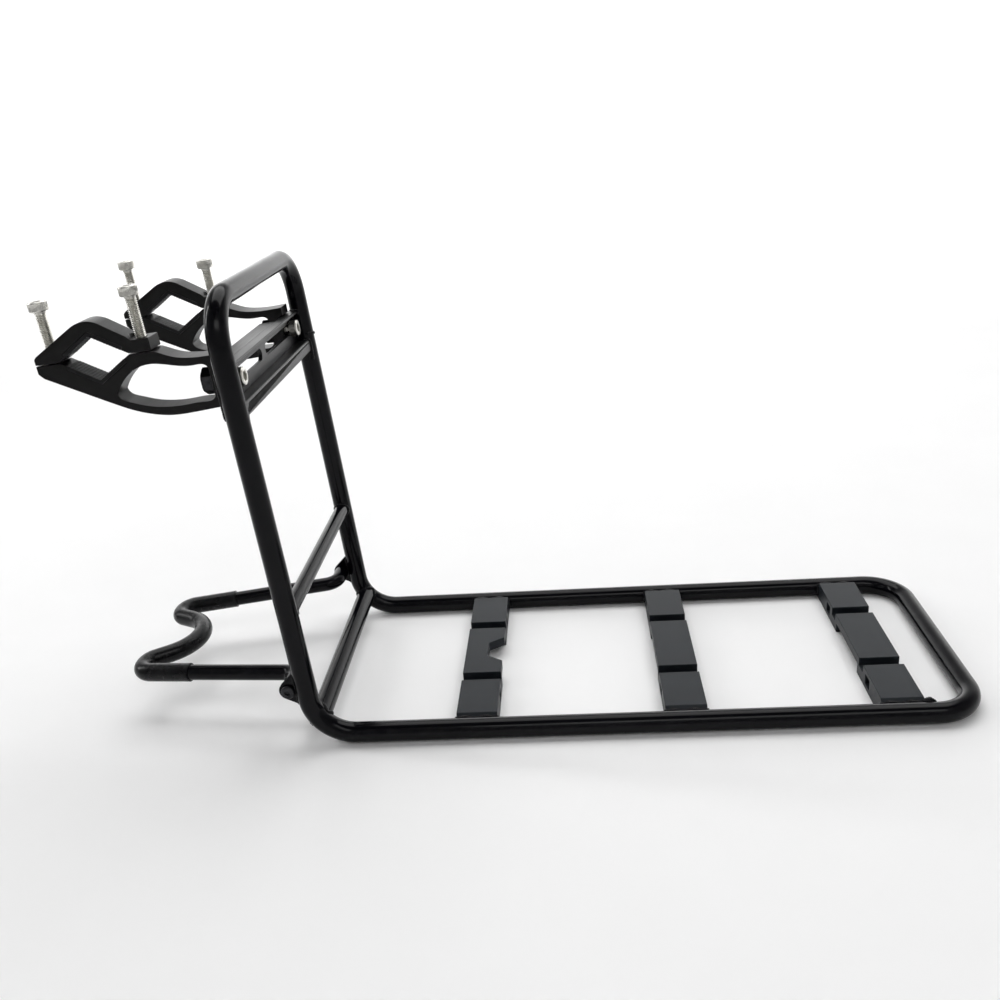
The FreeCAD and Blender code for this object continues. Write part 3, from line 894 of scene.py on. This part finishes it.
def dressed(name, node, edge, material, body, slot, cutters=()):
    """Replace a CAD part with a copy that has rounded edges."""
    shape = bmesh.new()
    shape.from_mesh(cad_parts[node].data)
    bmesh.ops.remove_doubles(shape, verts=shape.verts, dist=MERGE_DISTANCE)
    bmesh.ops.dissolve_limit(
        shape, angle_limit=FLAT_ANGLE, verts=shape.verts, edges=shape.edges
    )
    data = bpy.data.meshes.new(name)
    shape.to_mesh(data)
    shape.free()
    blank = linked(name + "_blank", data)
    for cutter in cutters:
        saw = blank.modifiers.new("saw", "BOOLEAN")
        saw.object = cutter
        saw.solver = "EXACT"
    blank.data.shade_smooth()
    rounding = blank.modifiers.new("rounding", "BEVEL")
    rounding.width = edge * MM
    rounding.segments = 2
    rounding.limit_method = "ANGLE"
    rounding.angle_limit = EDGE_ANGLE
    rounding.use_clamp_overlap = False
    rounding.miter_outer = "MITER_ARC"
    flattening = blank.modifiers.new("flattening", "WEIGHTED_NORMAL")
    flattening.mode = "FACE_AREA"
    flattening.weight = 100
    finished = bpy.data.meshes.new_from_object(
        blank.evaluated_get(bpy.context.evaluated_depsgraph_get())
    )
    for helper in (blank, *cutters):
        bpy.data.objects.remove(helper)
    finished.materials.clear()
    finished.materials.append(material)
    piece = linked(name, finished)
    settle(piece, body, slot, node)
    return piece


print("dressing ready")

# %% Dress the slats
for place in ("rear", "middle", "front"):
    node = "deck_slat_" + place
    dressed("slat_" + place, node, EDGE["slat"], slat_powder, "frame", "slat_satin")

# %% Dress the rail, its flange and the ears
for name, node in (("slotted_rail", "clamp_rail"), ("back_flange", "rail_back_flange")):
    dressed(name, node, EDGE["rail"], rail_black, "frame", "rail_satin")
for side in ("left", "right"):
    node = "stay_ear_" + side
    dressed("ear_" + side, node, EDGE["ear"], tube_enamel, "frame", "frame_gloss")

# %% [markdown]
# A thin groove runs along the front of the box section, just under its top edge.
# It is sawn with a long thin cutter before the edges are rounded.

# %% Saw the groove in the box section
GROOVE = {"n": (3.1, 5.0), "y": (-66.0, 71.0), "u": (198.2, 198.9)}


def block(name, n_span, y_span, u_span):
    """A box drawn in the leaning frame."""
    shape = bmesh.new()
    corners = [leaned(n, y, u) for n in n_span for y in y_span for u in u_span]
    bmesh.ops.convex_hull(shape, input=[shape.verts.new(corner) for corner in corners])
    bmesh.ops.recalc_face_normals(shape, faces=shape.faces)
    data = bpy.data.meshes.new(name)
    shape.to_mesh(data)
    shape.free()
    return linked(name, data)


cutter = block("groove_cutter", GROOVE["n"], GROOVE["y"], GROOVE["u"])
dressed(
    "rail_box", "clamp_rail_box", EDGE["box"], rail_black, "frame", "rail_satin", [cutter]
)

# %% Dress the clamps and nuts
for side in CLAMP_Y:
    clamp = "clamp_" + side
    cap = "cap_" + side
    arm = "clamp_arm_" + side
    dressed("arm_" + side, arm, EDGE["clamp"], clamp_black, clamp, "clamp_satin")
    jaw_cap = "clamp_cap_" + side
    dressed("jaw_cap_" + side, jaw_cap, EDGE["clamp"], clamp_black, cap, "clamp_satin")
    nut = "mount_nut_" + side
    dressed("nut_" + side, nut, EDGE["nut"], black_oxide, clamp, "nut_black")

# %% [markdown]
# ### Rubber strips
# Each jaw holds a bent strip of rubber. Fine ribs run across it so that it grips
# a bar. The ribs are one small rod, repeated along the strip's surface by the
# node tree.

# %% The recipe for a row of ribs
rib_recipe = Recipe(
    "rib_row",
    {"Ribs": "Int", "Rib radius": "Float", "Rib length": "Float", "Material": "Material"},
)


def rib_tree(recipe):
    """One rod across the strip at each of a number of points along a line."""
    given = recipe.given
    inputs = {"Curve": recipe.geometry, "Count": given("Ribs")}
    line = recipe.node("GeometryNodeResampleCurve", {"mode": "COUNT"}, inputs)
    inputs = {"Vertices": 10, "Radius": given("Rib radius"), "Depth": given("Rib length")}
    rod = recipe.node("GeometryNodeMeshCylinder", {}, inputs)
    inputs = {"Points": line, "Instance": rod, "Rotation": (math.pi / 2, 0.0, 0.0)}
    return recipe.node("GeometryNodeInstanceOnPoints", {}, inputs)


rib_recipe.finish(rib_tree(rib_recipe))
OPENING_HALF = (19.4, 11.8)
FLAT_SLOPE = math.atan2(OPENING_HALF[1], OPENING_HALF[0])
STRIP_START = 5.6


def strip_point(end, jaw, distance):
    """Point on a flat of the opening, in the leaning frame."""
    n = OPENING_N + end * (OPENING_HALF[0] - distance * math.cos(FLAT_SLOPE))
    return n, OPENING_U + jaw * distance * math.sin(FLAT_SLOPE)


for side in CLAMP_Y:
    for jaw, node, body in ((-1, "jaw_pad_", "clamp_"), (1, "cap_pad_", "cap_")):
        dressed(
            node + "strip_" + side,
            node + side,
            EDGE["pad"],
            strip_rubber,
            body + side,
            "pad_rubber",
        )
        flat = math.hypot(*OPENING_HALF)
        stations = [strip_point(-1, jaw, STRIP_START), strip_point(-1, jaw, flat)]
        stations.append(strip_point(1, jaw, STRIP_START))
        data = bpy.data.curves.new("rib_line", "CURVE")
        data.dimensions = "3D"
        line = data.splines.new("POLY")
        line.points.add(len(stations) - 1)
        for corner, (n, u) in zip(line.points, stations):
            corner.co = (*leaned(n, CLAMP_Y[side], u), 1.0)
        values = {"Ribs": 21, "Rib radius": 0.3 * MM, "Rib length": 13.2 * MM}
        values["Material"] = strip_rubber
        ribs = rib_recipe.bake(linked("rib_line", data), node + "ribs_" + side, values)
        settle(ribs, body + side, "pad_rubber")

# %% [markdown]
# ## Welds
# The frame is aluminium tube, welded by hand. A bead is a row of small overlapping
# scales that swells where the welder paused. Where two tubes meet, the bead
# follows the line where they cross, and that line can be worked out: it is the
# set of points at one radius from both centrelines.


# %% Lay a bead
def bead(name, lines, radius, **changes):
    """Weld beads along lines of close points."""
    weld = {
        "Arc_steps": 1,
        "Sides": 14,
        "Step": 0.28 * MM,
        "Ripple": 0.20,
        "Ripple_pitch": 1.15 * MM,
        "Wobble": 0.5,
        "End_taper": 1.6 * MM,
    }
    weld.update(changes)
    made = bar(name, lines, radius, weld_enamel, **weld)
    settle(made, "frame", "frame_gloss")
    return made


def through(points, closed=False):
    return (points, [0.0] * len(points), closed)


print("beads ready")

# %% Beads round the cross tubes
BEND_CENTRE = (LOW_BEND * (1 - math.sin(LEAN)) / math.cos(LEAN), LOW_BEND)


def to_loop(x, z):
    """Distance, across the plane of an upright, from a point to the tube's centreline."""
    n = x * math.cos(LEAN) + z * math.sin(LEAN)
    inside_bend = x < BEND_CENTRE[0] and z < BEND_CENTRE[1]
    if inside_bend:
        return abs(math.hypot(x - BEND_CENTRE[0], z - BEND_CENTRE[1]) - LOW_BEND)
    return min(abs(n), abs(z)) if z < BEND_CENTRE[1] else abs(n)


def saddle(x, z, radius, side):
    """Line where a cross tube meets the loop."""
    points = []
    steps = 72
    for step in range(steps):
        angle = 2 * math.pi * step / steps
        px, pz = x + radius * math.cos(angle), z + radius * math.sin(angle)
        inset = math.sqrt(max(TUBE_R**2 - to_loop(px, pz) ** 2, 0.0))
        points.append(drawn(px, side * (HALF_WIDTH - inset), pz))
    return through(points, True)


middle_at = (-MIDDLE_U * math.sin(LEAN), MIDDLE_U * math.cos(LEAN))
saddles = [saddle(*LOW_TUBE, LOW_TUBE_R, side) for side in (-1, 1)]
bead("low_cross_welds", saddles, 1.25, End_taper=0.0, Lump=0.15, Lump_pitch=9.4 * MM)
saddles = [saddle(*middle_at, MIDDLE_TUBE_R, side) for side in (-1, 1)]
bead("middle_cross_welds", saddles, 1.1, End_taper=0.0, Lump=0.15, Lump_pitch=7.0 * MM)

# %% [markdown]
# The slats are butted against the side tubes and welded along the top and down
# both edges. The welder started and stopped often there, so each of those beads
# has a lump at both ends and one in the middle.

# %% Beads at the slats
SLAT_CENTRES = {"rear": 94.0, "middle": 215.0, "front": 336.0}
SLAT_HALF = 12.0
BEVEL_MEETS = 4.71
SLAT_BEAD_START = math.radians(215)


def slat_line(centre, side):
    """Up one sawn edge of a slat, along its top and down the other edge."""
    top_y = HALF_WIDTH - BEVEL_MEETS
    top_angle = math.atan2(BEVEL_MEETS - 1.0, -BEVEL_MEETS)
    arc = []
    for step in range(9):
        angle = SLAT_BEAD_START + (top_angle - SLAT_BEAD_START) * step / 8
        y = HALF_WIDTH + TUBE_R * math.cos(angle)
        arc.append((y, TUBE_R * math.sin(angle)))
    near = [drawn(centre - SLAT_HALF, side * y, z) for y, z in arc]
    far = [drawn(centre + SLAT_HALF, side * y, z) for y, z in reversed(arc)]
    steps = 8
    top = []
    for step in range(1, steps):
        x = centre - SLAT_HALF + 2 * SLAT_HALF * step / steps
        top.append(drawn(x, side * top_y, BEVEL_MEETS - 1.0))
    return through(near + top + far)


slat_lines = [slat_line(c, side) for c in SLAT_CENTRES.values() for side in (-1, 1)]
bead("slat_welds", slat_lines, 1.5, Lump=0.34, Lump_pitch=12.2 * MM)

# %% [markdown]
# One slat got an extra dab of metal at its outer corner. It is a lump of weld
# with a pulled-over top, so it is drawn as a very short, very thick bead.

# %% The extra dab and the closing weld
CLOSING_WELD_X = 226.9
dab_x = SLAT_CENTRES["front"] + SLAT_HALF - 2.0
dab_line = [drawn(dab_x + step, -73.6 - 0.1 * step, 4.4) for step in range(0, 9)]
bead("slat_dab", [through(dab_line)], 2.5, End_taper=3.0 * MM, Ripple=0.1)


HOOP_R = TUBE_R - 0.55


def hoop(x, side, steps=60):
    """A ring round a side tube, just under its surface."""
    points = []
    for step in range(steps):
        angle = 2 * math.pi * step / steps
        y = side * (HALF_WIDTH + HOOP_R * math.cos(angle))
        points.append(drawn(x, y, HOOP_R * math.sin(angle)))
    return through(points, True)


bead("closing_weld", [hoop(CLOSING_WELD_X, -1)], 0.6, End_taper=0.0, Wobble=0.2)

# %% Beads at the ears
EAR_TOP_U = 41.0
EAR_FOOT_ANGLE = math.radians(189.5)


def ear_line(offset, side):
    """Up the back of the tube, beside one face of an ear."""
    back = math.sqrt(TUBE_R**2 - (offset - HALF_WIDTH) ** 2)
    points = []
    straight_angle = math.pi - LEAN
    for step in range(8):
        angle = EAR_FOOT_ANGLE + (straight_angle - EAR_FOOT_ANGLE) * step / 7
        reach = LOW_BEND + back
        x = BEND_CENTRE[0] + reach * math.cos(angle)
        z = BEND_CENTRE[1] + reach * math.sin(angle)
        points.append(drawn(x, side * offset, z))
    start_u = BEND_CENTRE[1] * math.cos(LEAN) - BEND_CENTRE[0] * math.sin(LEAN)
    for step in range(1, 6):
        u = start_u + (EAR_TOP_U - start_u) * step / 5
        points.append(leaned(-back, side * offset, u))
    return through(points)


ear_lines = [ear_line(y, side) for y in (EAR_INNER, EAR_OUTER) for side in (-1, 1)]
bead("ear_welds", ear_lines, 1.0)

# %% Beads at the rail, its box and its flange
BOX_FRONT = 3.6
BOX_BOTTOM = 192.6
RAIL_BOTTOM = 200.4
RAIL_TOP = 220.2
LIP_FRONT = 0.0
WEB_BACK = -6.5


def on_upright(n, u, side):
    """Point on the inner face of an upright."""
    inset = math.sqrt(max(TUBE_R**2 - n**2, 0.0))
    return leaned(n, side * (HALF_WIDTH - inset), u)


def rail_front_line(side):
    """Up the front of the box, back to the web, up to the lip and over it."""
    outline = [(3.4, BOX_BOTTOM - 6.5), (BOX_FRONT, BOX_BOTTOM)]
    outline += [(BOX_FRONT, BOX_BOTTOM + 2)]
    outline += [(BOX_FRONT, RAIL_BOTTOM - 1), (BOX_FRONT - 1, RAIL_BOTTOM)]
    outline += [(0.0, RAIL_BOTTOM), (WEB_FRONT, RAIL_BOTTOM + 1), (WEB_FRONT, 206.0)]
    outline += [(WEB_FRONT, 212.0), (WEB_FRONT, RAIL_TOP - 3)]
    outline += [(WEB_FRONT + 1.5, RAIL_TOP - 2), (LIP_FRONT, RAIL_TOP - 2)]
    outline += [(LIP_FRONT, RAIL_TOP), (-3.0, RAIL_TOP), (-5.4, RAIL_TOP)]
    return through([on_upright(n, u, side) for n, u in outline])


def rail_back_line(side):
    """Beside the web's end, on the back of an upright."""
    levels = [BOX_BOTTOM + 1 + step * (RAIL_TOP - BOX_BOTTOM - 2) / 6 for step in range(7)]
    return through([leaned(WEB_BACK + 0.4, side * (HALF_WIDTH + 0.6), u) for u in levels])


def flange_line(centre):
    """A short stitch in the corner under the flange."""
    places = [centre - 6 + step * 2 for step in range(7)]
    return through([leaned(WEB_BACK - 0.2, y, RAIL_TOP - 2.3) for y in places])


front_lines = [rail_front_line(side) for side in (-1, 1)]
bead("rail_front_welds", front_lines, 1.2, Lump=0.15, Lump_pitch=8 * MM)
bead("rail_back_welds", [rail_back_line(side) for side in (-1, 1)], 1.1)
bead("flange_stitches", [flange_line(y) for y in (-30.0, 0.0, 30.0)], 0.9)
wrap = []
for step in range(11):
    angle = math.radians(20 + 14 * step)
    y = HALF_WIDTH - (TUBE_R - 0.1) * math.cos(angle)
    n = (TUBE_R - 0.1) * math.sin(angle)
    wrap.append(leaned(n, y, BOX_BOTTOM + 12.0 - step * 0.25))
bead("far_upright_weld", [through(wrap)], 1.1, Lump=0.2, Lump_pitch=6 * MM)

# %% [markdown]
# ## Camera
# The rack is seen from its right side, from a little above, with its deck running
# away to the right.

# %% Camera
LENS_WIDTH = 36.0
FOCAL_SHARE = 1.001378


def look_from(place, right, down, ahead, focal_share):
    data = bpy.data.cameras.new("camera")
    data.sensor_width = LENS_WIDTH
    data.lens = LENS_WIDTH * focal_share
    data.clip_start = 0.01
    camera = bpy.data.objects.new("camera", data)
    bpy.context.scene.collection.objects.link(camera)
    columns = Matrix((Vector(right), -Vector(down), -Vector(ahead))).transposed()
    camera.matrix_world = Matrix.Translation(place) @ columns.to_4x4()
    return camera


camera = look_from(
    place=Vector((0.02746, -0.56460, 0.34311)),
    right=(0.995799, 0.051748, -0.075542),
    down=(-0.050597, -0.376633, -0.924980),
    ahead=(-0.076317, 0.924916, -0.372432),
    focal_share=FOCAL_SHARE,
)
bpy.context.scene.camera = camera

# %% [markdown]
# ## Stage and light
# The rack stands on a plain pale sweep, a floor that curves up into a wall far
# behind, so that there is no line where they meet. A large soft light hangs above
# and a wide one washes the wall. A small one fills from the near side and a narrow
# strip stands at the left. Glossy black shows mostly what it reflects, so the
# lights are shaped for the thin bright lines they leave on the tubes.

# %% Sweep the stage
SWEEP_REACH = 7.0
SWEEP_FLAT = 3.0
SWEEP_RISE = 0.6
SWEEP_CELLS = 48


def sweep_height(distance):
    """Height of the sweep at a distance from the rack."""
    return 0.0 if distance < SWEEP_FLAT else (distance - SWEEP_FLAT) ** 2 * SWEEP_RISE


shape = bmesh.new()
bmesh.ops.create_grid(
    shape, x_segments=SWEEP_CELLS, y_segments=SWEEP_CELLS, size=SWEEP_REACH
)
for corner in shape.verts:
    corner.co.z = sweep_height(math.hypot(corner.co.x, corner.co.y))
stage_data = bpy.data.meshes.new("pale_sweep")
shape.to_mesh(stage_data)
shape.free()
stage = linked("pale_sweep", stage_data)
stage.data.shade_smooth()
pale = Finish("pale_floor")
speck = pale.noise(14, 4.0)
pale_colours = (grey(0.90, 0.90, 0.90), grey(0.93, 0.93, 0.93))
floor_colour = pale.mix(speck, *pale_colours)
stage.data.materials.append(pale.wire(Base_Color=floor_colour, Roughness=0.8))
print("stage", count(stage), "triangles")


# %% Hang the lights
def panel(name, place, aim, width, height, power):
    data = bpy.data.lights.new(name, "AREA")
    data.shape = "RECTANGLE"
    data.size = width
    data.size_y = height
    data.energy = power
    lamp = bpy.data.objects.new(name, data)
    bpy.context.scene.collection.objects.link(lamp)
    lamp.location = place
    lamp.rotation_euler = (Vector(aim) - Vector(place)).to_track_quat("-Z", "Y").to_euler()
    return lamp


panel("ceiling_softbox", (0.1, 0.9, 1.9), (0.1, 0.45, 0.0), width=2.4, height=1.6, power=33)
panel("wall_wash", (0.0, 2.2, 2.3), (0.0, 4.6, 0.9), width=4.5, height=0.8, power=170)
panel("near_softbox", (0.4, -1.1, 1.3), (0.1, 0.0, 0.0), width=1.2, height=0.45, power=4.5)
panel("left_strip", (-1.5, 0.2, 0.9), (0.0, 0.0, 0.1), width=0.12, height=0.9, power=5)
WORLD_STRENGTH = 0.10
world = bpy.data.worlds.new("room")
bpy.context.scene.world = world
world.use_nodes = True
world.node_tree.nodes["Background"].inputs["Color"].default_value = (1, 1, 1, 1)
world.node_tree.nodes["Background"].inputs["Strength"].default_value = WORLD_STRENGTH
bpy.context.scene.view_settings.view_transform = "Standard"
print("lights hung")

# %% [markdown]
# ## Materials for the hidden CAD parts

# %% Materials for the hidden CAD parts
for node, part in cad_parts.items():
    part.data.materials.clear()
    part.data.materials.append(tube_enamel)
